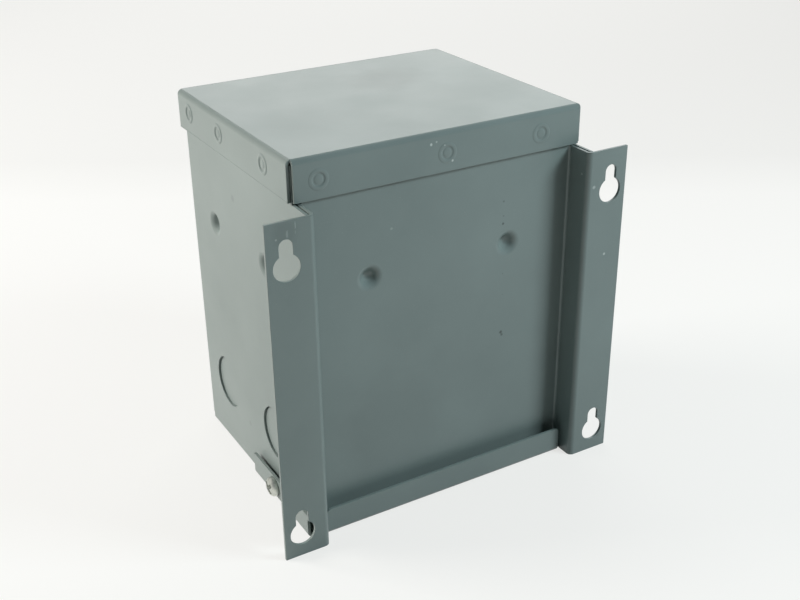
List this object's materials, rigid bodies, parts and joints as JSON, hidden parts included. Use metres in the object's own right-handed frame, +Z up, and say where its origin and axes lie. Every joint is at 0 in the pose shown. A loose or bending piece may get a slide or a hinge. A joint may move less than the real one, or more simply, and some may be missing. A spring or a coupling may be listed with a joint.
{
  "type": "buck boost transformer",
  "caption": "Wall-mounted dry-type transformer in a folded steel case, with a potted core and coil over a wiring compartment and keyholed mounting flanges at the back.",
  "frame": {"origin": "middle of the bottom, halfway between the lid's front edge and the wall plane", "axes": "+X along the wall, to the right as seen from the front; +Y from the front towards the wall; +Z up"},
  "size_m": [0.191, 0.1436, 0.1905],
  "materials": {
    "grey_enamel": "semi-gloss",
    "zinc_plated_steel": "bright zinc",
    "galvanised_steel": "matt",
    "electrical_steel": "varnished, matt",
    "potting_compound": "sand-filled resin, matt",
    "insulation_board": "varnished paper",
    "former_plastic": "matt",
    "enamelled_copper": "enamelled wire",
    "lead_sleeving": "varnished sleeve",
    "terminal_board": "phenolic",
    "terminal_brass": "machined",
    "earth_green": "green dyed zinc",
    "lug_aluminium": "plain"
  },
  "bodies": {
    "root": {"top_lid": "grey_enamel", "case_wrap": "grey_enamel", "rear_panel": "grey_enamel", "wiring_cover": "grey_enamel", "cover_screws": "zinc_plated_steel", "floor_pan": "galvanised_steel", "potting_compound": "potting_compound", "e_laminations": "electrical_steel", "i_laminations": "electrical_steel", "core_clamp_upper_front": "galvanised_steel", "core_clamp_upper_rear": "galvanised_steel", "core_clamp_lower_front": "galvanised_steel", "core_clamp_lower_rear": "galvanised_steel", "core_bolts": "zinc_plated_steel", "core_nuts": "zinc_plated_steel", "core_washers": "zinc_plated_steel", "bolt_sleeves": "insulation_board", "coil_former": "former_plastic", "primary_winding_inner": "enamelled_copper", "primary_insulation": "insulation_board", "primary_winding_outer": "enamelled_copper", "winding_barrier": "insulation_board", "secondary_winding_inner": "enamelled_copper", "secondary_insulation": "insulation_board", "secondary_winding_outer": "enamelled_copper", "coil_outer_wrap": "insulation_board", "primary_leads": "lead_sleeving", "secondary_leads": "lead_sleeving", "primary_terminal_board": "terminal_board", "secondary_terminal_board": "terminal_board", "terminal_studs": "terminal_brass", "terminal_washers": "terminal_brass", "terminal_nuts": "terminal_brass", "terminal_links": "terminal_brass", "board_screws": "zinc_plated_steel", "earth_screw": "earth_green", "earth_lug": "lug_aluminium"}
  },
  "joints": []
}
